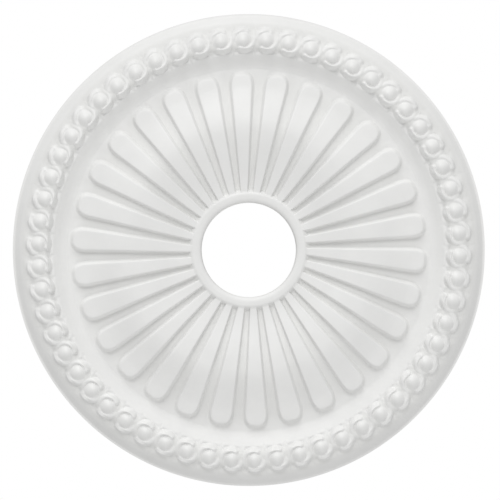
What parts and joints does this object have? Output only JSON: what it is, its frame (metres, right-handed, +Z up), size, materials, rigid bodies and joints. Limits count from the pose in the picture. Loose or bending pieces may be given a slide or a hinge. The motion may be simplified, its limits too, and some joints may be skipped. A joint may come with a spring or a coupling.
{
  "type": "ceiling rose",
  "caption": "Round moulded ceiling rose with a centre hole, radiating round-ended ribs on a broad swell, a smooth cove and a raised rim with a running scroll of bosses and S-shaped ribbons.",
  "frame": {"origin": "centre of the rose on its flat back, where it meets the ceiling", "axes": "+Z up into the ceiling, the carved face looks down along -Z, one rib runs along +X"},
  "size_m": [0.762, 0.762, 0.0453],
  "materials": {
    "white_moulding": "white primed moulding, smooth and matt with a faint sheen"
  },
  "bodies": {
    "root": {"ceiling_rose": "white_moulding"}
  },
  "joints": []
}
